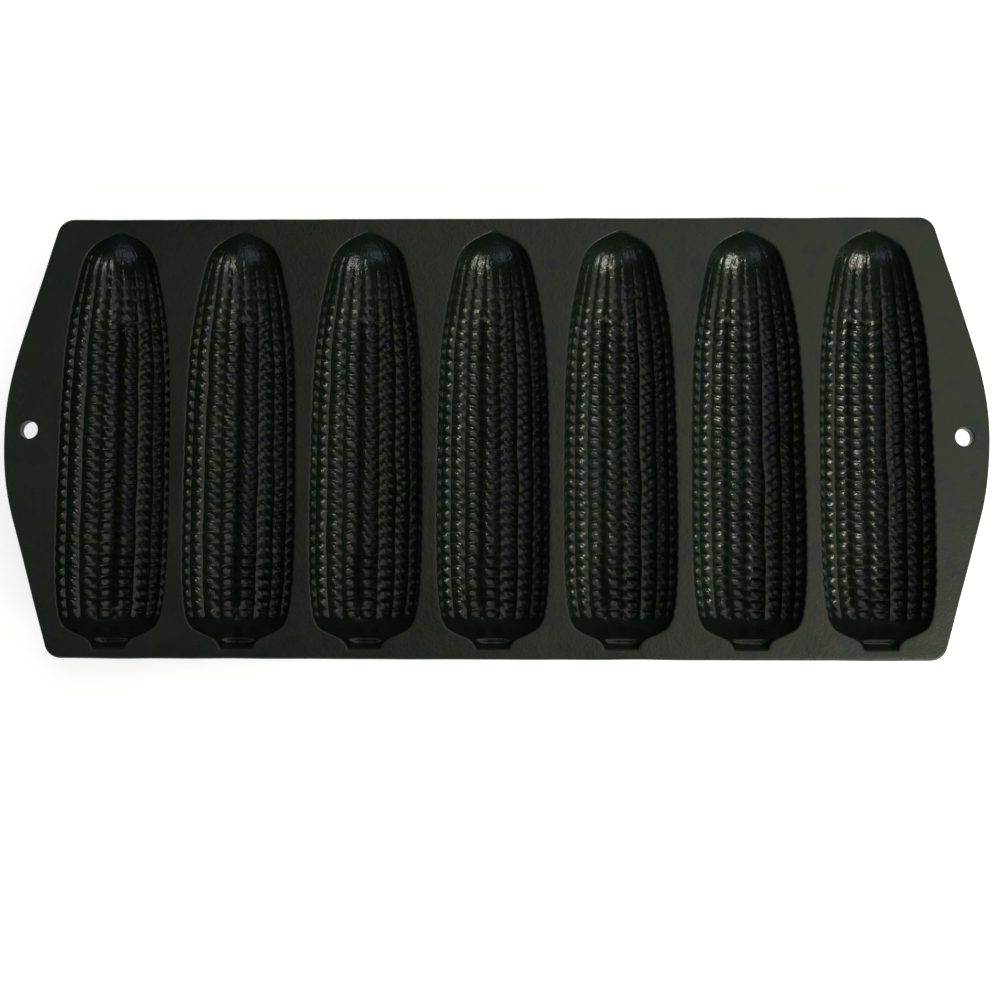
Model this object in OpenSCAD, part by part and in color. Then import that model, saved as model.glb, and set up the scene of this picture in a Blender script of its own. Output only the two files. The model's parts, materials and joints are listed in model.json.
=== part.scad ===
// Corn stick pan in cast iron: a flat deck with seven ear of corn moulds hung under it.
// Millimetres. +Z is up, the ears point along +Y, and the pan is longest along X.
// The origin is on the resting plane, under the middle of the pan.

/* [Pan] */
// Length of the pan over its bowed ends
pan_length = 330; // [328:1:340]
// Height from the resting lands to the top of the deck
pan_height = 21.5; // [21:0.5:24]
// Thickness of the deck
deck_t = 4; // [3.5:0.5:5]
// Deck left beyond the tips of the ears
tip_margin = 4.8; // [3:0.2:8]
// Deck left beyond the stems of the ears
stem_margin = 3.6; // [3:0.2:8]
// Radius of the bow at each end
bow_r = 104; // [90:1:120]
// How far each bowed end stands out past the corners
bow_depth = 16.7; // [15:0.1:20]
// Radius of the four corners
corner_r = 6; // [4:0.5:8]
// Bevel along the outer edge of the deck
edge_bevel = 0.8; // [0.4:0.1:1.2]

/* [Hanging holes] */
// Diameter of the hole in each end
hang_d = 6; // [5:0.5:8]
// Distance between the two holes
hang_spacing = 312.6; // [310:0.2:316]
// How far the left hole lies above the middle
left_hang_y = 2; // [-3:0.5:3]
// How far the right hole lies above the middle
right_hang_y = -0.5; // [-3:0.5:3]

/* [Ears] */
// Distance from one ear to the next
ear_pitch = 42.4; // [42.2:0.1:43]
// Width of an ear where it is fullest
ear_w = 37.2; // [36:0.1:37.2]
// Length of an ear with its stem
ear_length = 140.6; // [136:0.2:146]

/* [Kernels] */
// Kernels along one row
kernels = 30; // [24:1:30]
// How deep a kernel is pressed below the ridges round it
kernel_depth = 0.9; // [0.4:0.1:1]
// How far a kernel on the rim bites into the deck
scallop = 0.5; // [0:0.1:0.7]
// Turn of the whole ear about its length, which sets the rows off centre
ear_turn = 7; // [5:1:9]

/* [Walls] */
// Metal round the mouth of a mould, within the thickness of the deck
collar_t = 1.4; // [1.2:0.1:1.8]
// Metal outside the mouth of a mould, just under the deck
hump_t = 2.3; // [2.2:0.1:2.4]
// How much of each round hump is cut away to leave the flat land that the pan rests on
land_cut = 1.4; // [1.4:0.1:2]

/* [Hidden] */
iron = "#2b2927";
ears = 7;
curve_n = 64;                       // facets of a round hole
bow_n = 10;                         // chords along a bowed end
corner_n = 3;                       // chords round a corner

// An ear from its tip: [distance, half its width, depth below the top of the deck].
// The last three stand for the stem, and the last depth is where its end wall comes out.
drawn_w = 37.2;
drawn_length = 140.6;
drawn_ear = [
    [0, 0, 0], [1.2, 2.6, 2.5], [3, 6, 5.6], [5.8, 9.8, 8.9], [10, 11.9, 11.3],
    [18, 14.1, 13.6], [28, 15.9, 15.4], [40, 17.3, 16.8], [56, 18.1, 17.6],
    [80, 18.5, 18], [100, 18.6, 18.05], [116, 18.3, 17.8], [125, 17.6, 17.2],
    [130.5, 16.5, 16], [133.6, 14.7, 12.6], [135.6, 11.2, 8.4], [137.2, 7.6, 5.4],
    [139, 5.9, 4.9], [140.6, 5.3, 0]];
ear = [for (p = drawn_ear) [p[0] * ear_length / drawn_length, p[1] * ear_w / drawn_w, p[2]]];
last = len(ear) - 1;

pan_width = tip_margin + ear_length + stem_margin;
half_l = pan_length / 2;
half_w = pan_width / 2;
deck_z = pan_height - deck_t;                             // underside of the deck
tip_y = half_w - tip_margin;                              // where every ear starts
grip_x = ear_pitch * (ears - 1) / 2 + ear_w / 2 + 2.7;    // where the grips take over from the deck
hole_over = 1;                                            // how far a cutter runs past a face

// Bow: the flank is tangent to the end's arc and meets the long edge at the corner.
flank = atan2(half_w, bow_r - bow_depth) - acos(bow_r / norm([half_w, bow_r - bow_depth]));
flank_c = (half_l - bow_r) * cos(flank) + bow_r;          // distance of the flank from the middle
corner_x = (flank_c - corner_r - (half_w - corner_r) * sin(flank)) / cos(flank);

// Kernel rows: the ridges between them, as angles round the ear, from one rim to the other.
rim_rise = 0.5;                                           // the cutter's rims stand this far above the deck
rows = 9;
row_angle = 20;
row_edges = [for (k = [0:rows]) k == 0 ? -90 : k == rows ? 90 : (k - 5) * row_angle + ear_turn];
kernels_from = 18;                                        // distances from the tip, at the drawn length
kernels_to = 132;
faint = 0.3;                                              // share of the full relief next to the tip
full_after = 30;                                          // distance over which the relief grows to full
tip_rings = [1.2, 3, 5.8, 10, 14];
butt_rings = [133.6, 135.6, 137.2, 139, 140.8];
boxy = 0.5;                                               // how square the stem's section is: 1 is round
stem_from = 133;
stem_to = 137;

// Hump: the angles of its facets, with a pair at the edges of the flat land.
hump_angles = [-90, -66, -45, -28, -12, 12, 28, 45, 66, 90];
hump_swell = (deck_z + land_cut) / max([for (p = ear) p[2]]);

function arc(x, y, r, from, to, n) =
    [for (k = [0:n]) let (a = from + (to - from) * k / n) [x + r * cos(a), y + r * sin(a)]];
function mirrored(points) = [for (k = [len(points) - 1:-1:0]) [-points[k][0], points[k][1]]];

// Outline of the pan, moved in by a bevel.
function right_end(inset) = concat(
    arc(corner_x, corner_r - half_w, corner_r - inset, -90, -flank, corner_n),
    arc(half_l - bow_r, 0, bow_r - inset, -flank, flank, bow_n),
    arc(corner_x, half_w - corner_r, corner_r - inset, flank, 90, corner_n));
function pan_outline(inset) = concat(right_end(inset), mirrored(right_end(inset)));

// Smooth curve through column c of the ear's table, at a distance from the tip.
function slope(i, c) = let (a = max(i - 1, 0), b = min(i + 1, last))
    (ear[b][c] - ear[a][c]) / (ear[b][0] - ear[a][0]);
function span_of(s, i = 0) = i >= last - 1 || s <= ear[i + 1][0] ? i : span_of(s, i + 1);
function along(s, c) = let (
        i = span_of(s), h = ear[i + 1][0] - ear[i][0], t = (s - ear[i][0]) / h,
        t2 = t * t, t3 = t2 * t)
    (2 * t3 - 3 * t2 + 1) * ear[i][c] + (t3 - 2 * t2 + t) * h * slope(i, c)
    + (3 * t2 - 2 * t3) * ear[i + 1][c] + (t3 - t2) * h * slope(i + 1, c);

// Section of the ear: round over the cob and nearly square in the stem.
function squareness(s) = 1 - (1 - boxy) * max(0, min(1, (s - stem_from) / (stem_to - stem_from)));
function power(v, e) = sign(v) * pow(abs(v), e);
function ear_point(s, a, relief) = let (d = s * ear_length / drawn_length, e = squareness(s)) [
    (along(d, 1) + relief) * power(sin(a), e),
    -d,
    abs(a) == 90 ? rim_rise : -(along(d, 2) + relief) * power(cos(a), e)];

// The ear's outline at the deck, moved out by some metal. The stem's corners stay square.
function outline_at(i, out) = i == 0 ? [0, out] : i == last ? [ear[i][1] + out, -ear[i][0] - out] :
    let (d = [ear[i + 1][1] - ear[i - 1][1], ear[i - 1][0] - ear[i + 1][0]])
    [ear[i][1], -ear[i][0]] + out * [-d[1], d[0]] / norm(d);
function right_side(out) = [for (i = [1:last]) outline_at(i, out)];
function ear_outline(out) = concat([outline_at(0, out)], right_side(out), mirrored(right_side(out)));

// Kernels are faint next to the tip and reach their full relief further down.
function fade(s) = min(1, faint + (1 - faint) * (s - kernels_from) / full_after);

// Triangles of a grid cell, without those that a shared point has closed up.
function whole(triangles) = [for (t = triangles) if (t[0] != t[1] && t[1] != t[2] && t[0] != t[2]) t];
function cell(a, b, c, d) = whole([[a, d, c], [a, c, b]]);

// The shape of one ear, point for point: what the mould leaves open.
module ear_form() {
    pitch = (kernels_to - kernels_from) / kernels;
    kernel_rings = [for (k = [0:kernels]) kernels_from + k * pitch];
    rings = concat(tip_rings, kernel_rings, butt_rings);
    first = len(tip_rings);
    n = len(rings) - 1;
    columns = rows + 1;
    middles = 1 + (n + 1) * columns;

    // Points: one at the tip, a ring at a time, then each ring of kernels' middles,
    // where -1 and the number of rows stand for the scallops on the two rims.
    function id(i, j) = 1 + i * columns + j;
    function middle_id(i, j) = middles + (i - first) * (rows + 2) + j + 1;
    function middle(s, j) = let (d = s * ear_length / drawn_length, x = along(d, 1) + scallop * fade(s))
        j == -1 ? [-x, -d, rim_rise] : j == rows ? [x, -d, rim_rise] :
        ear_point(s, (row_edges[j] + row_edges[j + 1]) / 2, kernel_depth * fade(s));

    // A kernel is a fan round its middle, and one on the rim takes in the scallop.
    function is_kernel(i) = i >= first && i < first + kernels;
    function border(i, j) = concat(
        [id(i, j), id(i, j + 1)],
        j == rows - 1 ? [middle_id(i, rows)] : [],
        [id(i + 1, j + 1), id(i + 1, j)],
        j == 0 ? [middle_id(i, -1)] : []);
    function dimple(i, j) = let (b = border(i, j))
        [for (k = [0:len(b) - 1]) [b[k], middle_id(i, j), b[(k + 1) % len(b)]]];
    function lid(i) = concat(
        [id(i, 0), id(i, rows)],
        is_kernel(i) ? [middle_id(i, rows)] : [],
        [id(i + 1, rows), id(i + 1, 0)],
        is_kernel(i) ? [middle_id(i, -1)] : []);

    polyhedron(
        points = concat(
            [[0, 0, rim_rise]],
            [for (s = rings, a = row_edges) ear_point(s, a, 0)],
            [for (k = [0:kernels - 1], j = [-1:rows]) middle(kernels_from + (k + 0.5) * pitch, j)]),
        faces = concat(
            [for (j = [0:rows - 1]) [0, id(0, j), id(0, j + 1)]],
            [[0, id(0, rows), id(0, 0)]],
            [for (i = [0:n - 1], j = [0:rows - 1])
                each is_kernel(i) ? dimple(i, j)
                                  : cell(id(i, j), id(i, j + 1), id(i + 1, j + 1), id(i + 1, j))],
            [for (i = [0:n - 1]) lid(i)],
            [[id(n, 0), for (j = [rows:-1:1]) id(n, j)]]));
}

// Collar and hump in one piece: the metal that a mould is cut from.
module mould_body() {
    facets = len(hump_angles) - 1;
    top_left = 0;
    collar_left = 1;
    hump_0 = 2;
    hump_n = hump_0 + facets;
    collar_right = hump_n + 1;
    top_right = hump_n + 2;
    columns = top_right + 1;
    function tip_id(j) = j == top_left || j == top_right ? 0 : j < hump_0 || j > hump_n ? 1 : 2;
    function id(i, j) = i == 0 ? tip_id(j) : 3 + (i - 1) * columns + j;
    function side(p, x, z) = [x * p[0], p[1], z];
    function hump_point(i, a) = let (p = outline_at(i, hump_t))
        [p[0] * sin(a), p[1], max(0, deck_z - ear[i][2] * hump_swell * cos(a))];
    function ring(i) = let (c = outline_at(i, collar_t)) concat(
        [side(c, -1, pan_height), side(c, -1, deck_z)],
        [for (a = hump_angles) hump_point(i, a)],
        [side(c, 1, deck_z), side(c, 1, pan_height)]);
    polyhedron(
        points = concat(
            [[0, collar_t, pan_height], [0, collar_t, deck_z], [0, hump_t, deck_z]],
            [for (i = [1:last]) each ring(i)]),
        faces = concat(
            [for (i = [0:last - 1], j = [0:top_right - 1])
                each cell(id(i, j), id(i, j + 1), id(i + 1, j + 1), id(i + 1, j))],
            [for (i = [0:last - 1])
                each cell(id(i, top_right), id(i, top_left), id(i + 1, top_left), id(i + 1, top_right))],
            [[id(last, top_left), id(last, top_right), id(last, collar_right), id(last, collar_left)]],
            [[id(last, collar_left), id(last, collar_right),
              for (j = [hump_n:-1:hump_0]) id(last, j)]]));
}

// One of the seven: its body with the ear taken out of it.
module stick_mould(number) {
    color(iron)
    translate([(number - (ears + 1) / 2) * ear_pitch, tip_y, 0])
    difference() {
        mould_body();
        translate([0, 0, pan_height]) ear_form();
    }
}

// The whole plate with its bevelled edge, before it is divided or pierced.
module plate() {
    translate([0, 0, deck_z])
    hull() {
        linear_extrude(deck_t) polygon(pan_outline(edge_bevel));
        translate([0, 0, edge_bevel]) linear_extrude(deck_t - 2 * edge_bevel) polygon(pan_outline(0));
    }
}

module ear_openings() {
    for (number = [1:ears])
        translate([(number - (ears + 1) / 2) * ear_pitch, tip_y, deck_z - hole_over])
        linear_extrude(deck_t + 2 * hole_over) polygon(ear_outline(collar_t));
}

module deck_plate() {
    color(iron)
    difference() {
        intersection() {
            plate();
            translate([-grip_x, -pan_width, 0]) cube([2 * grip_x, 2 * pan_width, 2 * pan_height]);
        }
        ear_openings();
    }
}

// A bowed end beyond the moulds, with its hanging hole.
module grip(side, hang_y) {
    color(iron)
    difference() {
        intersection() {
            plate();
            translate([side > 0 ? grip_x : -pan_length, -pan_width, 0])
            cube([pan_length - grip_x, 2 * pan_width, 2 * pan_height]);
        }
        translate([side * hang_spacing / 2, hang_y, deck_z - hole_over])
        cylinder(d = hang_d, h = deck_t + 2 * hole_over, $fn = curve_n);
    }
}

deck_plate();
grip(-1, left_hang_y);  // grip_left
grip(1, right_hang_y);  // grip_right
stick_mould(1);  // stick_mould_1
stick_mould(2);  // stick_mould_2
stick_mould(3);  // stick_mould_3
stick_mould(4);  // stick_mould_4
stick_mould(5);  // stick_mould_5
stick_mould(6);  // stick_mould_6
stick_mould(7);  // stick_mould_7
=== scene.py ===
import json
import math

import bpy
from mathutils import Matrix, Vector, noise


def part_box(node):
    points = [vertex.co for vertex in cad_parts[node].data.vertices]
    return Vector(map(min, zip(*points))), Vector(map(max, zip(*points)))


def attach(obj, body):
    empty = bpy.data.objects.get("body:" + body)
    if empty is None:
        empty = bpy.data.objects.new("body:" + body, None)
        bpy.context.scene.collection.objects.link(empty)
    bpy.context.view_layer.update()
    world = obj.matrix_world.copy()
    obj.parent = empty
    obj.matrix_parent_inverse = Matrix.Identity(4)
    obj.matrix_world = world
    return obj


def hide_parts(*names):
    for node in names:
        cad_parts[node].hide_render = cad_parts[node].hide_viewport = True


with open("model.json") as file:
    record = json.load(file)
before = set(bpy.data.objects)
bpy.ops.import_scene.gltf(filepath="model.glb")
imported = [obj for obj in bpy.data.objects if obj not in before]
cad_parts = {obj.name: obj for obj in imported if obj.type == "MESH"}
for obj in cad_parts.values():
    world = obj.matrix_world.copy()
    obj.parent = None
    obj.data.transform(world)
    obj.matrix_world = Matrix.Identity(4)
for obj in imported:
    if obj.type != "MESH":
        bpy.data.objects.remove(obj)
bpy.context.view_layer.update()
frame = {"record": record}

MM = 0.001

# The pan's main sizes. All but the number of ears and the margin at their tips are from the frame.
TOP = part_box("deck_plate")[1].z
DECK_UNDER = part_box("deck_plate")[0].z
HALF_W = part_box("deck_plate")[1].y
HALF_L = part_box("grip_right")[1].x
GRIP_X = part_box("grip_right")[0].x
HOLES = [mount["pos_m"] for mount in frame["record"]["mounts"] if mount["kind"] == "bore"]
EARS = 7
FIRST_EAR_X = (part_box("stick_mould_1")[0].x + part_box("stick_mould_1")[1].x) / 2
PITCH = -FIRST_EAR_X / ((EARS - 1) / 2)
TIP_MARGIN = 4.8 * MM
TIP_Y = HALF_W - TIP_MARGIN

# The plate's outline and its rounded edges. The flanks lean in by some degrees.
BOW_R = 104 * MM
FLANK_LEAN = 16.2
CORNER_R = 6 * MM
HOLE_R = 3 * MM
EDGE_ROUND = 0.9 * MM
UNDER_ROUND = 0.6 * MM
HOLE_ROUND = 0.5 * MM
EDGE_WANDER = 0.4 * MM
WANDER_SIZE = 19 * MM
CORNER_STEPS = 10
FLANK_STEPS = 22
BOW_STEPS = 40
LONG_STEPS = 90
ROUND_STEPS = 4
HOLE_POINTS = 48

# An ear from its tip, in millimetres: distance, half its width, depth below the deck.
EAR = [
    (0, 0, 0), (1.2, 2.9, 2.5), (3, 6.5, 5.6), (5.8, 9.9, 8.9), (10, 12.2, 11.3),
    (18, 14.1, 13.6), (28, 15.9, 15.4), (40, 17.3, 16.8), (56, 18.1, 17.6),
    (80, 18.5, 18), (100, 18.6, 18.05), (116, 18.3, 17.8), (125, 17.6, 17.2),
    (130.5, 16.5, 16), (133.6, 14.7, 12.6), (135.6, 11.2, 8.4), (137.2, 7.6, 5.4),
    (139, 5.9, 4.9), (140.6, 5.3, 0)]
LAST = len(EAR) - 1
EAR_LENGTH = EAR[LAST][0]
DEEPEST = max(depth for distance, half, depth in EAR)
SHOULDER = (133, 137)
STEM_SQUARE = 0.4

# The metal round an ear, in millimetres. The land is the flat that the pan rests on.
DECK_T = (TOP - DECK_UNDER) / MM
LIP = 0.6
LIP_STEPS = 3
COLLAR_T = 1.4
HUMP_T = 2.3
LAND_CUT = 1.4
HUMP_SWELL = (DECK_UNDER / MM + LAND_CUT) / DEEPEST
LAND_SOFT = 0.35
LAND_DROP = LAND_SOFT / 8
LAND_FADE = (0.3, 1.5)

# The flat sheet that becomes a mould, with a column of cells for each row of kernels.
# Below, u counts the rows across it, v its cells from the tip, and s millimetres from the tip.
ROWS = 9
ROW_EDGES = [-90, -73, -53, -33, -13, 7, 27, 47, 67, 90]
KERNELS = 31
KERNELS_FROM = 16
KERNELS_TO = 131.5
TIP_KNOTS = [0, 0.6, 1.4, 2.6, 4.2, 6.4, 9.2, 12.4]
KERNEL_KNOTS = [KERNELS_FROM + (KERNELS_TO - KERNELS_FROM) * k / KERNELS for k in range(KERNELS + 1)]
BUTT_KNOTS = [132.7, 134, 135.2, 136.3, 137.3, 138.3, 139.3, 140.1, EAR_LENGTH]
KNOTS = TIP_KNOTS + KERNEL_KNOTS + BUTT_KNOTS
CELLS = len(KNOTS) - 1
FIRST_KERNEL = len(TIP_KNOTS)
SMOOTHING = 2
STEPS = 2 ** SMOOTHING
NEAR = 0.01

# The pockets pressed into the sheet: the width and depth of each step, in cells, and the creases.
PLAIN_TIP_CELLS = 2
POCKET_STEPS = ((0.13, 0.5), (0.16, 0.35))
ROW_CREASE = 0.95
KERNEL_CREASE = 0.7

# Relief inside a mould, in millimetres. What ends in ROWS is a width across, in rows.
POCKET = 0.86
POCKET_UNEVEN = 0.28
BUTT_POCKET_LOSS = 0.35
GROOVE = 0.52
GROOVE_MIDDLE = 0.7
GROOVE_SHARPNESS = 3.6
SCALLOP = 0.24
SCALLOP_ROWS = 0.16
RIDGE_LINE = 0.5
RIDGE_ROW = 4
RIDGE_ROWS = 0.075
CROSS_BAR = 1.1
CROSS_BAR_AT = 29.4
CROSS_BAR_HALF = 0.7
LUMP = 0.1
LUMP_SIZE = 7
GRIT = 0.05
GRIT_SIZE = 1.3
ROW_WIDTH = 6.4
STREAK = 0.16

# How far the kernels wander along the ear in millimetres, and its rows round it in degrees.
KERNEL_WANDER = 1.5
ROW_WANDER = 1.6

# Uneven patterns: how fast each changes across and along the ear, and a number that sets it apart.
POCKET_PATTERN = (1.7, 1.9, 0.5)
STREAK_PATTERN = (5, 0.12, 2)
KERNEL_PATTERN = (0.9, 0.035, 4)
ROW_PATTERN = (0.6, 0.09, 9)

# Where the relief comes and goes, in millimetres from the tip.
ROWS_COME = (3, 14)
ROWS_GO = (129, 133)
POCKETS_COME = (12, 38)
POCKETS_GO = (124, 131)
SCALLOPS_COME = (15, 26)
WANDER_COMES = (16, 26)
LINE_COMES = (27, 30)
LINE_GOES = (122, 130)
STREAKS_GO = (20, 45)
LUMPS_COME = (0.5, 4)

# Where it comes in from the mouth's rim, in rows.
LUMPS_COME_IN = (0, 0.5)
WANDER_COMES_IN = (0, 1)

# Doubled points closer than this are merged, in millimetres: at the tip's pole, and hump to collar.
POLE_GAP = 0.002
JOINT_GAP = 0.003

# Edges that turn by more than this stay crisp, in degrees.
MOULD_CRISP = 50
DECK_CRISP = 35

# The surface of the iron. Sand leaves grit of about 0.3 mm, too fine to show, so it is drawn coarser.
CLOUD_SIZE = 26 * MM
PATCH_SIZE = 11 * MM
WAVE_SIZE = 7 * MM
WAVE_HEIGHT = 0.25 * MM
GRAIN_SIZE = 1.1 * MM
GRAIN_HEIGHT = 0.15 * MM
OIL_SHARE = 0.35

# How far below the deck's surface the greased finish and its painted shade begin, and where they are
# complete.
GREASE_AND_SHADE_FROM = 0.1 * MM
GREASE_AND_SHADE_FULL = 1.6 * MM

# Each finish: three colours of its clouds, then its smoothest and its roughest polish.
DECK_FINISH = ("#0f180f", "#141d13", "#1b2419", 0.36, 0.5)
# The moulds' colours are darker than the deck's: painted shade in the hollows. Their smoother polish is
# the grease.
MOULD_FINISH_AND_SHADE = ("#06140a", "#0a190d", "#0f1e11", 0.23, 0.34)

# The board below the pan. It lies just under the lands, because two faces in one plane flicker.
BOARD_SIZE = 6
BOARD_DROP = 0.1 * MM
BOARD_CLOUD = 90 * MM
BOARD_GLOW = 0.75

# Studio light: a low narrow key, a big panel above right, and weak fills.
# Each softbox has its place, its side, its watts, its colour, the spot it looks at, and its spread.
LIGHTS = [
    ("key_softbox", (0.36, -0.3, 0.3), 0.16, 0.28, "#fffdf2", (0.12, 0), 60),
    ("overhead_panel", (0.55, 0.3, 1.1), 1.3, 6, "#fffcee", (0, 0), 180),
    ("window_fill", (-0.4, -1.0, 0.4), 0.6, 2, "#cfe0ff", (0, 0), 180),
    ("back_fill", (0.1, 0.9, 0.5), 0.6, 1, "#ffffff", (0, 0), 180),
    ("left_fill", (-0.75, 0.1, 0.75), 0.4, 0.5, "#f4fff4", (0, 0), 180)]
ROOM_COLOUR = "#eef2f6"
ROOM_LIGHT = 0.06

# The photograph's camera, almost straight above the pan. Its turns are in degrees.
CAMERA_RISE = 390 * MM
CAMERA_PLACE = (9.17 * MM, -53.59 * MM, TOP + CAMERA_RISE)
CAMERA_TURNS = (4.689, 0.996, 0.136)
CAMERA_SENSOR = 36
CAMERA_LENS = 42.42


def select_only(obj):
    bpy.ops.object.select_all(action="DESELECT")
    obj.select_set(True)
    bpy.context.view_layer.objects.active = obj


def select_in_mesh(obj, kind, wanted):
    """Opens a mesh, with only the vertices, edges or faces selected that wanted() accepts."""
    select_only(obj)
    bpy.ops.object.mode_set(mode="EDIT")
    bpy.ops.mesh.select_mode(type=kind)
    bpy.ops.mesh.select_all(action="DESELECT")
    bpy.ops.object.mode_set(mode="OBJECT")
    mesh = obj.data
    items = {"VERT": mesh.vertices, "EDGE": mesh.edges, "FACE": mesh.polygons}[kind]
    for item in items:
        item.select = wanted(item)
    bpy.ops.object.mode_set(mode="EDIT")


def finish_edit():
    bpy.ops.object.mode_set(mode="OBJECT")


def apply_modifier(obj, kind, **settings):
    select_only(obj)
    modifier = obj.modifiers.new(kind.title(), kind)
    for name, value in settings.items():
        setattr(modifier, name, value)
    bpy.ops.object.modifier_apply(modifier=modifier.name)


def drop_attributes(obj, names):
    for name in names:
        obj.data.attributes.remove(obj.data.attributes[name])


def ease(x, start, end):
    """Rises softly from 0 at the start to 1 at the end."""
    t = min(1, max(0, (x - start) / (end - start)))
    return t * t * (3 - 2 * t)


def power(value, exponent):
    """A power that keeps the sign of what is raised."""
    return math.copysign(abs(value) ** exponent, value)


def uneven(across, down, pattern):
    """A smooth uneven number, about -1 to 1, at a place on the ear."""
    return noise.noise(Vector((across * pattern[0], down * pattern[1], pattern[2])))


def slope(i, column):
    """How steeply a column of the ear's table changes at one of its rows."""
    before, after = max(i - 1, 0), min(i + 1, LAST)
    return (EAR[after][column] - EAR[before][column]) / (EAR[after][0] - EAR[before][0])


def along(s, column):
    """The ear's half width (column 1) or depth (column 2), on a smooth curve through its table."""
    i = 0
    while i < LAST - 1 and s > EAR[i + 1][0]:
        i += 1
    span = EAR[i + 1][0] - EAR[i][0]
    t = (s - EAR[i][0]) / span
    t2, t3 = t * t, t * t * t
    return ((2 * t3 - 3 * t2 + 1) * EAR[i][column] + (t3 - 2 * t2 + t) * span * slope(i, column)
            + (3 * t2 - 2 * t3) * EAR[i + 1][column] + (t3 - t2) * span * slope(i + 1, column))


def distance_at(v):
    """Millimetres from the tip, at a place along the sheet."""
    i = min(int(v), CELLS - 1)
    return KNOTS[i] + (KNOTS[i + 1] - KNOTS[i]) * (v - i)


def angle_at(u):
    """Degrees round the ear from its lowest line, at a place across the sheet."""
    j = min(int(u), ROWS - 1)
    return ROW_EDGES[j] + (ROW_EDGES[j + 1] - ROW_EDGES[j]) * (u - j)


def squareness(s):
    """1 is a round section, and the stem's is squarer."""
    return 1 - STEM_SQUARE * ease(s, *SHOULDER)


def outward(s):
    """Normal of the ear's outline in plan, on its right side."""
    step = 0.05
    before, after = max(s - step, 0), min(s + step, EAR_LENGTH)
    rise = (along(after, 1) - along(before, 1)) / (after - before)
    return Vector((1, rise, 0)).normalized()


def mouth_point(u, v, out):
    """A point of the mould's mouth, moved out by some millimetres of metal, in the deck's plane."""
    s = distance_at(v)
    side = -1 if u < ROWS / 2 else 1
    if v < NEAR:
        return Vector((0, out / outward(0).y, 0))
    if v > CELLS - NEAR:
        half = along(EAR_LENGTH, 1)
        x = half * power(math.sin(math.radians(angle_at(u))), squareness(EAR_LENGTH))
        return Vector((x * (half + out) / half, -EAR_LENGTH - out, 0))
    normal = outward(s)
    return Vector((side * (along(s, 1) + out * normal.x), -s + out * normal.y, 0))


def mouth_loop(out):
    """The mouth as a closed loop: up its left side, over the tip, down the right, along the stem."""
    sides = [k / STEPS for k in range(1, CELLS * STEPS + 1)]
    left = [mouth_point(0, v, out) for v in reversed(sides)]
    right = [mouth_point(ROWS, v, out) for v in sides]
    stem = [mouth_point(k / STEPS, CELLS, out) for k in range(ROWS * STEPS - 1, 0, -1)]
    return left + [mouth_point(0, 0, out)] + right + stem


def relief_at(u, v, s, pocket):
    """How far a point is pressed out of the smooth ear, in millimetres."""
    row, kernel = min(int(u), ROWS - 1), int(v)
    across = 2 * (u - row) - 1
    rim = min(u, ROWS - u)

    # The kernels' pockets, each a little deeper or shallower than its neighbours.
    pockets_show = ease(s, *POCKETS_COME) * (1 - BUTT_POCKET_LOSS * ease(s, *POCKETS_GO))
    share = 1 + POCKET_UNEVEN * uneven(row, kernel, POCKET_PATTERN)
    relief = POCKET * pockets_show * share * pocket

    # The thin ridges between the rows.
    rows_show = ease(s, *ROWS_COME) * (1 - ease(s, *ROWS_GO))
    relief += GROOVE * rows_show * (GROOVE_MIDDLE - abs(across) ** GROOVE_SHARPNESS)

    # One stronger ridge line, with a short bar across the row beside it.
    line_shows = ease(s, *LINE_COMES) * (1 - ease(s, *LINE_GOES))
    relief -= RIDGE_LINE * line_shows * math.exp(-((u - RIDGE_ROW) / RIDGE_ROWS) ** 2)
    if RIDGE_ROW <= u <= RIDGE_ROW + 1:
        relief -= CROSS_BAR * math.exp(-((s - CROSS_BAR_AT) / CROSS_BAR_HALF) ** 2)

    # The small bites that the kernels take out of the mouth's long rims.
    if FIRST_KERNEL <= v <= FIRST_KERNEL + KERNELS:
        bite = 1 - (2 * (v - kernel) - 1) ** 2
        relief += SCALLOP * ease(s, *SCALLOPS_COME) * bite * math.exp(-(rim / SCALLOP_ROWS) ** 2)

    # Lumps and grit from the sand, and streaks at the tip.
    place = Vector((u * ROW_WIDTH, s, 0))
    inside = ease(rim, *LUMPS_COME_IN) * ease(s, *LUMPS_COME)
    relief += inside * LUMP * noise.noise(place / LUMP_SIZE)
    relief += inside * GRIT * noise.noise(place / GRIT_SIZE)
    relief += inside * STREAK * (1 - ease(s, *STREAKS_GO)) * uneven(u, s, STREAK_PATTERN)
    return relief


def cavity_point(u, v, pocket):
    """Where a point of the flat sheet lands in the mould. The deck's top is at z 0 here."""
    s = distance_at(v)
    rim = min(u, ROWS - u)
    body = ease(s, *WANDER_COMES) * (1 - ease(s, *POCKETS_GO)) * ease(rim, *WANDER_COMES_IN)
    s += KERNEL_WANDER * body * uneven(u, s, KERNEL_PATTERN)
    angle = math.radians(angle_at(u) + ROW_WANDER * body * uneven(u, s, ROW_PATTERN))
    relief = relief_at(u, v, s, pocket)
    square = squareness(s)
    depth = max(along(s, 2), LIP)
    x = (along(s, 1) + relief) * power(math.sin(angle), square)
    z = -LIP - max(0, depth + relief - LIP) * power(max(0, math.cos(angle)), square)
    return Vector((x, -s, z))


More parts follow.
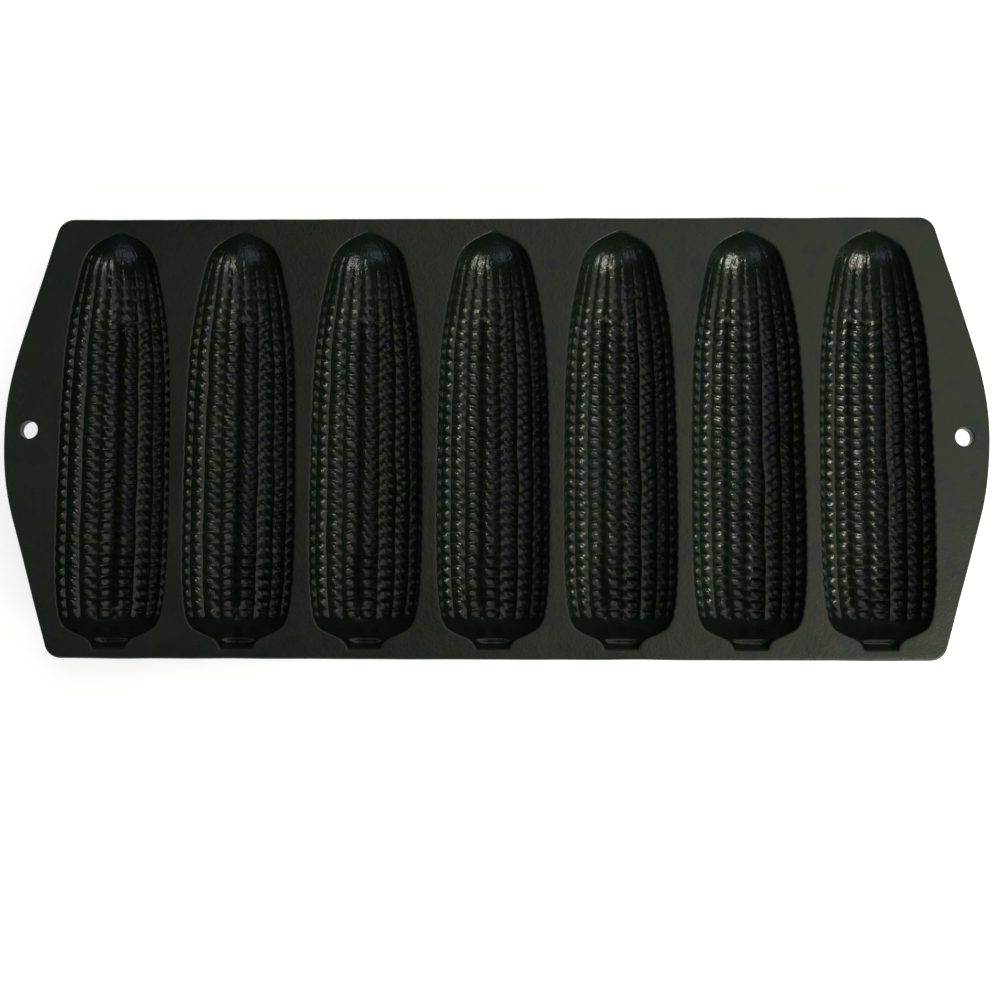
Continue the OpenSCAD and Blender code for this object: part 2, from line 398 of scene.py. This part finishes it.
def hump_point(u, v):
    """The smooth outside of a mould, with its land below. The deck's top is at z 0 here too."""
    s = distance_at(v)
    angle = math.radians(-90 + 180 * u / ROWS)
    at_ends = v < NEAR or v > CELLS - NEAR
    at_sides = u < NEAR or u > ROWS - NEAR
    if at_ends:
        spot = mouth_point(u, v, HUMP_T)
    else:
        rim = mouth_point(ROWS, v, HUMP_T)
        spot = Vector((rim.x * math.sin(angle), rim.y, 0))
    height = DECK_UNDER / MM
    if not (at_ends or at_sides):
        height -= along(s, 2) * HUMP_SWELL * max(0, math.cos(angle))
        height = (height + math.sqrt(height * height + LAND_SOFT * LAND_SOFT)) / 2
        height = max(0, height - LAND_DROP * (1 - ease(height, *LAND_FADE)))
    return Vector((spot.x, spot.y, height - TOP / MM))


def flat_grid(across, down):
    """A flat sheet, ROWS wide and CELLS long, with a corner at the origin."""
    bpy.ops.mesh.primitive_grid_add(x_subdivisions=across, y_subdivisions=down, size=2)
    sheet = bpy.context.object
    sheet.data.transform(Matrix.Diagonal((ROWS / 2, CELLS / 2, 1, 1)) @ Matrix.Translation((1, 1, 0)))
    return sheet


def pressed_sheet():
    """A flat sheet with a pocket for every kernel pressed into it, one unit a cell."""
    sheet = flat_grid(ROWS, CELLS)
    mesh = sheet.data
    crease = mesh.attributes.new("crease_edge", "FLOAT", "EDGE")
    for edge in mesh.edges:
        a, b = (mesh.vertices[i].co for i in edge.vertices)
        crease.data[edge.index].value = ROW_CREASE if abs(a.x - b.x) < NEAR else KERNEL_CREASE
    select_in_mesh(sheet, "FACE", lambda f: PLAIN_TIP_CELLS < f.center.y < FIRST_KERNEL + KERNELS)
    for width, drop in POCKET_STEPS:
        bpy.ops.mesh.inset(thickness=width, depth=-drop, use_individual=True)
    finish_edit()
    apply_modifier(sheet, "SUBSURF", levels=SMOOTHING, render_levels=SMOOTHING,
                   boundary_smooth="PRESERVE_CORNERS")
    return sheet


def place_rim(obj, level):
    """Moves the ring just drawn out of the rim to its place: lip, then collar, its foot, the hump."""
    mesh = obj.data
    us, vs = mesh.attributes["sheet_u"].data, mesh.attributes["sheet_v"].data
    turn = math.radians(90 / LIP_STEPS)
    for vertex in mesh.vertices:
        if not vertex.select:
            continue
        u = round(us[vertex.index].value * STEPS) / STEPS
        v = round(vs[vertex.index].value * STEPS) / STEPS
        if level <= LIP_STEPS:
            way = (mouth_point(u, v, 1) - mouth_point(u, v, 0)).normalized()
            vertex.co += way * LIP * (math.cos(turn * (level - 1)) - math.cos(turn * level))
            vertex.co.z = -LIP * (1 - math.sin(turn * level))
        elif level == LIP_STEPS + 1:
            vertex.co = mouth_point(u, v, COLLAR_T)
        elif level == LIP_STEPS + 2:
            vertex.co.z = -DECK_T
        else:
            vertex.co = mouth_point(u, v, HUMP_T)
            vertex.co.z = -DECK_T


def ear_mould():
    """One mould at the middle of the pan: kernelled inside, rounded lip, collar and smooth hump."""
    mould = pressed_sheet()
    mesh = mould.data
    flat = [vertex.co.copy() for vertex in mesh.vertices]
    full_press = max(-co.z for co in flat)
    us = mesh.attributes.new("sheet_u", "FLOAT", "POINT").data
    vs = mesh.attributes.new("sheet_v", "FLOAT", "POINT").data
    for i, co in enumerate(flat):
        us[i].value = co.x
        vs[i].value = co.y
    for i, co in enumerate(flat):
        mesh.vertices[i].co = cavity_point(co.x, co.y, -co.z / full_press)
    select_in_mesh(mould, "VERT", lambda vertex: True)
    bpy.ops.mesh.remove_doubles(threshold=POLE_GAP)
    for level in range(1, LIP_STEPS + 4):
        bpy.ops.mesh.select_mode(type="EDGE")
        bpy.ops.mesh.select_all(action="DESELECT")
        bpy.ops.mesh.select_non_manifold(extend=False, use_wire=False, use_boundary=True,
                                         use_multi_face=False, use_non_contiguous=False, use_verts=False)
        bpy.ops.mesh.extrude_region()
        finish_edit()
        place_rim(mould, level)
        bpy.ops.object.mode_set(mode="EDIT")
    finish_edit()

    hump = flat_grid(ROWS * STEPS, CELLS * STEPS)
    for vertex in hump.data.vertices:
        vertex.co = hump_point(vertex.co.x, vertex.co.y)
    select_only(mould)
    hump.select_set(True)
    bpy.ops.object.join()
    select_in_mesh(mould, "VERT", lambda vertex: True)
    bpy.ops.mesh.remove_doubles(threshold=JOINT_GAP)
    bpy.ops.mesh.normals_make_consistent(inside=False)
    finish_edit()
    drop_attributes(mould, ("sheet_u", "sheet_v", "crease_edge"))
    mould.data.transform(Matrix.Translation((0, TIP_Y, TOP)) @ Matrix.Diagonal((MM, MM, MM, 1)))
    return mould


def arc(centre, radius, start, end, steps):
    """Points of an arc from one angle to another, in degrees."""
    turns = [math.radians(start + (end - start) * k / steps) for k in range(steps + 1)]
    return [Vector((centre[0] + radius * math.cos(t), centre[1] + radius * math.sin(t), 0)) for t in turns]


def rim_normals(points, turn):
    """Unit normals of an anticlockwise loop: out of it for turn 1, and into it for turn -1."""
    count = len(points)
    ways = [(points[(i + 1) % count] - points[i - 1]).normalized() for i in range(count)]
    return [Vector((way.y, -way.x, 0)) * turn for way in ways]


def pan_outline():
    """The outside of the pan, slightly wandering: two long edges, four corners and two bowed ends."""
    lean = math.radians(FLANK_LEAN)
    flank_c = (HALF_L - BOW_R) * math.cos(lean) + BOW_R
    corner_x = (flank_c - CORNER_R - (HALF_W - CORNER_R) * math.sin(lean)) / math.cos(lean)
    corner = arc((corner_x, CORNER_R - HALF_W), CORNER_R, -90, -FLANK_LEAN, CORNER_STEPS)
    bow = arc((HALF_L - BOW_R, 0), BOW_R, -FLANK_LEAN, FLANK_LEAN, BOW_STEPS)
    flank = [corner[-1].lerp(bow[0], k / FLANK_STEPS) for k in range(1, FLANK_STEPS)]
    end = corner + flank + bow
    end += [Vector((p.x, -p.y, 0)) for p in reversed(corner + flank)]
    edge_x = [corner_x - 2 * corner_x * k / LONG_STEPS for k in range(1, LONG_STEPS)]
    half = end + [Vector((x, HALF_W, 0)) for x in edge_x]
    points = half + [-p for p in half]
    normals = rim_normals(points, 1)
    wander = [0.5 + 0.5 * noise.noise(p / WANDER_SIZE) for p in points]
    return [p - normal * EDGE_WANDER * w for p, normal, w in zip(points, normals, wander)]


def edge_profile(top_round, bottom_round):
    """The steps down a rounded edge: how far back from the edge, and at what height."""
    turns = [math.radians(90 / ROUND_STEPS * k) for k in range(ROUND_STEPS + 1)]
    steps = [(1 - math.sin(t), 1 - math.cos(t)) for t in turns]
    top = [(top_round * back, TOP - top_round * drop) for back, drop in steps]
    bottom = [(bottom_round * back, DECK_UNDER + bottom_round * drop) for back, drop in reversed(steps)]
    return top + bottom


def plate_rims():
    """The outside, the mouths and the hanging holes. Each has its points, normals and profile."""
    outline = pan_outline()
    rims = [(outline, rim_normals(outline, 1), edge_profile(EDGE_ROUND, UNDER_ROUND))]
    for n in range(EARS):
        middle = Vector((FIRST_EAR_X + n * PITCH, TIP_Y, 0))
        mouth = [middle + p * MM for p in mouth_loop(COLLAR_T)]
        rims.append((mouth, rim_normals(mouth, 1), [(0, TOP), (0, DECK_UNDER)]))
    for hole in HOLES:
        circle = arc(hole, HOLE_R, 0, 360 - 360 / HOLE_POINTS, HOLE_POINTS - 1)
        rims.append((circle, rim_normals(circle, -1), edge_profile(HOLE_ROUND, HOLE_ROUND)))
    return rims


def rim_wire(number, rim):
    """A closed wire along one rim of the plate. Each point keeps its rim and its place in it."""
    points, normals, profile = rim
    bpy.ops.mesh.primitive_circle_add(vertices=len(points), radius=1, fill_type="NOTHING")
    wire = bpy.context.object
    rims = wire.data.attributes.new("rim", "INT", "POINT").data
    spots = wire.data.attributes.new("spot", "INT", "POINT").data
    back, height = profile[0]
    for i, vertex in enumerate(wire.data.vertices):
        rims[i].value = number
        spots[i].value = i
        vertex.co = points[i] - normals[i] * back
        vertex.co.z = height
    return wire


def select_open_edges(obj, wanted):
    """Selects the edges with a face on one side only, on the rims that wanted() accepts."""
    rim_of = [item.value for item in obj.data.attributes["rim"].data]
    faces_on = {}
    for polygon in obj.data.polygons:
        for key in polygon.edge_keys:
            faces_on[key] = faces_on.get(key, 0) + 1

    def is_open(edge):
        return faces_on.get(edge.key) == 1 and wanted(rim_of[edge.vertices[0]])

    select_in_mesh(obj, "EDGE", is_open)


def plate():
    """The whole deck with its bowed ends, pierced for the moulds and for hanging."""
    rims = plate_rims()
    wires = [rim_wire(number, rim) for number, rim in enumerate(rims)]
    select_only(wires[0])
    for wire in wires:
        wire.select_set(True)
    bpy.ops.object.join()
    deck = bpy.context.object
    select_in_mesh(deck, "VERT", lambda vertex: True)
    bpy.ops.mesh.fill(use_beauty=True)
    finish_edit()
    steps = max(len(profile) for points, normals, profile in rims)
    for step in range(1, steps):
        select_open_edges(deck, lambda rim: step < len(rims[rim][2]))
        bpy.ops.mesh.extrude_region()
        finish_edit()
        rim_of = deck.data.attributes["rim"].data
        spot_of = deck.data.attributes["spot"].data
        for vertex in deck.data.vertices:
            if vertex.select:
                points, normals, profile = rims[rim_of[vertex.index].value]
                spot = spot_of[vertex.index].value
                back, height = profile[step]
                vertex.co = points[spot] - normals[spot] * back
                vertex.co.z = height
    select_open_edges(deck, lambda rim: True)
    bpy.ops.mesh.fill(use_beauty=True)
    bpy.ops.mesh.select_all(action="SELECT")
    bpy.ops.mesh.normals_make_consistent(inside=False)
    finish_edit()
    drop_attributes(deck, ("rim", "spot"))
    return deck


def part_of(whole, name, cuts):
    """A copy of the plate, cut off and closed at each of some places along it."""
    select_only(whole)
    bpy.ops.object.duplicate()
    piece = bpy.context.object
    piece.name = name
    for x, direction in cuts:
        select_in_mesh(piece, "VERT", lambda vertex: True)
        bpy.ops.mesh.bisect(plane_co=(x, 0, 0), plane_no=(direction, 0, 0), use_fill=True,
                            clear_outer=True)
        finish_edit()
    return piece


def linear(hex_colour):
    """An sRGB hex value as the linear colour that a shader takes."""
    channels = [int(hex_colour[i:i + 2], 16) / 255 for i in (1, 3, 5)]
    return [c / 12.92 if c <= 0.04045 else ((c + 0.055) / 1.055) ** 2.4 for c in channels] + [1]


def add(tree, kind, values=None, stops=(), **settings):
    """Adds a node with its settings. A value that is another node's output is linked.
    Stops are the places and the sRGB colours of a node that has a colour ramp."""
    node = tree.nodes.new(kind)
    for name, setting in settings.items():
        setattr(node, name, setting)
    for name, value in (values or {}).items():
        if isinstance(value, bpy.types.NodeSocket):
            tree.links.new(value, node.inputs[name])
        else:
            node.inputs[name].default_value = value
    if stops:
        elements = node.color_ramp.elements
        while len(elements) < len(stops):
            elements.new(0.5)
        for element, (place, colour) in zip(elements, stops):
            element.position = place
            element.color = linear(colour)
    return node


def blank(name):
    """A new material without nodes."""
    material = bpy.data.materials.new(name)
    material.use_nodes = True
    tree = material.node_tree
    tree.nodes.clear()
    return material, tree


def seasoned_iron(name, deck, inside):
    """Grey iron cast in sand, with oil baked on. The eye sees the oil and not bare metal: near black
    and clouded, with a faint green, brown or blue film. The deck is satin and pimpled by the sand.
    Below its surface the finish turns into that of the greased moulds, which are smoother, with small
    bright highlights, and darker in colour: that darker colour is painted shade in their hollows."""
    material, tree = blank(name)
    place = add(tree, "ShaderNodeTexCoord").outputs["Object"]
    height = add(tree, "ShaderNodeSeparateXYZ", {"Vector": place}).outputs["Z"]
    depth = add(tree, "ShaderNodeMapRange", {
        "Value": height, "From Min": TOP - GREASE_AND_SHADE_FULL, "From Max": TOP - GREASE_AND_SHADE_FROM,
        "To Min": 1, "To Max": 0}).outputs["Result"]
    cloud = add(tree, "ShaderNodeTexNoise", {
        "Vector": place, "Scale": 1 / CLOUD_SIZE, "Detail": 4, "Roughness": 0.55}).outputs["Fac"]
    patch = add(tree, "ShaderNodeTexNoise", {
        "Vector": place, "Scale": 1 / PATCH_SIZE, "Detail": 3, "Roughness": 0.6}).outputs["Fac"]

    # Colour: clouds of the finish's own three colours, darker down in the moulds as painted shade, with
    # patches of baked oil over them.
    cloud_places = (0.32, 0.52, 0.72)
    deck_base = add(tree, "ShaderNodeValToRGB", {"Fac": cloud}, stops=list(zip(cloud_places, deck)))
    shaded_inside_base = add(tree, "ShaderNodeValToRGB", {"Fac": cloud}, stops=list(zip(cloud_places, inside)))
    base = add(tree, "ShaderNodeMix", {
        0: depth, 6: deck_base.outputs["Color"], 7: shaded_inside_base.outputs["Color"]}, data_type="RGBA")
    oil = add(tree, "ShaderNodeValToRGB", {"Fac": patch},
              stops=[(0.35, "#0c1a0d"), (0.5, "#16190f"), (0.66, "#0d161a")])
    colour = add(tree, "ShaderNodeMix", {
        0: OIL_SHARE, 6: base.outputs[2], 7: oil.outputs["Color"]}, data_type="RGBA")
    film = add(tree, "ShaderNodeValToRGB", {"Fac": patch},
               stops=[(0.36, "#e6f0e8"), (0.5, "#f6f2ea"), (0.64, "#e4e9f6")])

    # Polish: patchy, between the finish's smoothest and its roughest.
    patchy = add(tree, "ShaderNodeMath", {0: cloud, 1: patch}, operation="ADD").outputs[0]
    smoothest = add(tree, "ShaderNodeMix", {0: depth, 2: deck[3], 3: inside[3]}).outputs[0]
    roughest = add(tree, "ShaderNodeMix", {0: depth, 2: deck[4], 3: inside[4]}).outputs[0]
    rough = add(tree, "ShaderNodeMapRange", {
        "Value": patchy, "From Min": 0.7, "From Max": 1.3,
        "To Min": smoothest, "To Max": roughest}).outputs["Result"]

    # Skin: slow waves of the casting, and the sand's grain over them.
    wave = add(tree, "ShaderNodeTexNoise", {
        "Vector": place, "Scale": 1 / WAVE_SIZE, "Detail": 2}).outputs["Fac"]
    grain = add(tree, "ShaderNodeTexNoise", {
        "Vector": place, "Scale": 1 / GRAIN_SIZE, "Detail": 3, "Roughness": 0.6}).outputs["Fac"]
    soft = add(tree, "ShaderNodeBump", {
        "Height": wave, "Distance": WAVE_HEIGHT, "Strength": 0.6}).outputs["Normal"]
    fine = add(tree, "ShaderNodeBump", {
        "Height": grain, "Distance": GRAIN_HEIGHT, "Strength": 1, "Normal": soft}).outputs["Normal"]

    shader = add(tree, "ShaderNodeBsdfPrincipled", {
        "Base Color": colour.outputs[2], "Roughness": rough, "Normal": fine,
        "Specular Tint": film.outputs["Color"]})
    add(tree, "ShaderNodeOutputMaterial", {"Surface": shader.outputs["BSDF"]})
    return material


def white_board():
    """A white light board: even and matt, and it glows a little, so the pan throws hardly a shadow."""
    material, tree = blank("white_studio_board")
    place = add(tree, "ShaderNodeTexCoord").outputs["Object"]
    cloud = add(tree, "ShaderNodeTexNoise", {"Vector": place, "Scale": 1 / BOARD_CLOUD, "Detail": 3})
    colour = add(tree, "ShaderNodeValToRGB", {"Fac": cloud.outputs["Fac"]},
                 stops=[(0.3, "#f3f2f0"), (0.7, "#f8f8f7")]).outputs["Color"]
    shader = add(tree, "ShaderNodeBsdfPrincipled", {
        "Base Color": colour, "Roughness": 0.8, "Emission Color": colour,
        "Emission Strength": BOARD_GLOW})
    add(tree, "ShaderNodeOutputMaterial", {"Surface": shader.outputs["BSDF"]})
    return material


def shade(obj, material, crisp):
    """Gives a piece its material, and smooth shading that leaves its flat faces flat."""
    obj.data.materials.clear()
    obj.data.materials.append(material)
    select_only(obj)
    bpy.ops.object.shade_smooth_by_angle(angle=math.radians(crisp))
    apply_modifier(obj, "WEIGHTED_NORMAL", keep_sharp=True)


def belongs(piece, node):
    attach(piece, "root")
    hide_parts(node)


def soft_light(name, place, size, watts, colour, aim, spread):
    """A square softbox that looks at a spot of the pan. A small spread makes a narrow beam."""
    light = bpy.data.lights.new(name, "AREA")
    light.size = size
    light.energy = watts
    light.color = linear(colour)[:3]
    light.spread = math.radians(spread)
    lamp = bpy.data.objects.new(name, light)
    bpy.context.scene.collection.objects.link(lamp)
    lamp.location = place
    way = Vector((aim[0], aim[1], TOP)) - Vector(place)
    lamp.rotation_euler = way.to_track_quat("-Z", "Y").to_euler()


deck_iron = seasoned_iron("seasoned_cast_iron_deck", DECK_FINISH, DECK_FINISH)
# The moulds' iron turns darker below the deck's surface: painted shade in the hollows.
mould_iron = seasoned_iron("oiled_and_shaded_cast_iron_moulds", DECK_FINISH, MOULD_FINISH_AND_SHADE)

# The seven moulds come from one pattern, as in the foundry.
pattern = ear_mould()
for n in range(EARS):
    mesh = pattern.data.copy()
    mesh.transform(Matrix.Translation((FIRST_EAR_X + n * PITCH, 0, 0)))
    mould = bpy.data.objects.new(f"ear_mould_{n + 1}", mesh)
    bpy.context.scene.collection.objects.link(mould)
    shade(mould, mould_iron, MOULD_CRISP)
    belongs(mould, f"stick_mould_{n + 1}")
bpy.data.objects.remove(pattern)

# The plate is modelled whole and then cut where its ends begin, so that the three parts match.
whole_plate = plate()
for name, node, cuts in (("deck_casting", "deck_plate", ((GRIP_X, 1), (-GRIP_X, -1))),
                         ("right_end", "grip_right", ((GRIP_X, -1),)),
                         ("left_end", "grip_left", ((-GRIP_X, 1),))):
    piece = part_of(whole_plate, name, cuts)
    shade(piece, deck_iron, DECK_CRISP)
    belongs(piece, node)
bpy.data.objects.remove(whole_plate)

bpy.ops.mesh.primitive_plane_add(size=BOARD_SIZE)
floor = bpy.context.object
floor.name = "floor"
floor.data.transform(Matrix.Translation((0, 0, -BOARD_DROP)))
floor.data.materials.append(white_board())

for light in LIGHTS:
    soft_light(*light)

world = bpy.data.worlds.new("studio")
world.use_nodes = True
background = world.node_tree.nodes["Background"]
background.inputs["Color"].default_value = linear(ROOM_COLOUR)
background.inputs["Strength"].default_value = ROOM_LIGHT
bpy.context.scene.world = world
bpy.context.scene.view_settings.view_transform = "Standard"

camera = bpy.data.objects.new("camera", bpy.data.cameras.new("camera"))
bpy.context.scene.collection.objects.link(camera)
camera.location = CAMERA_PLACE
camera.rotation_euler = [math.radians(turn) for turn in CAMERA_TURNS]
camera.data.sensor_width = CAMERA_SENSOR
camera.data.lens = CAMERA_LENS
bpy.context.scene.camera = camera
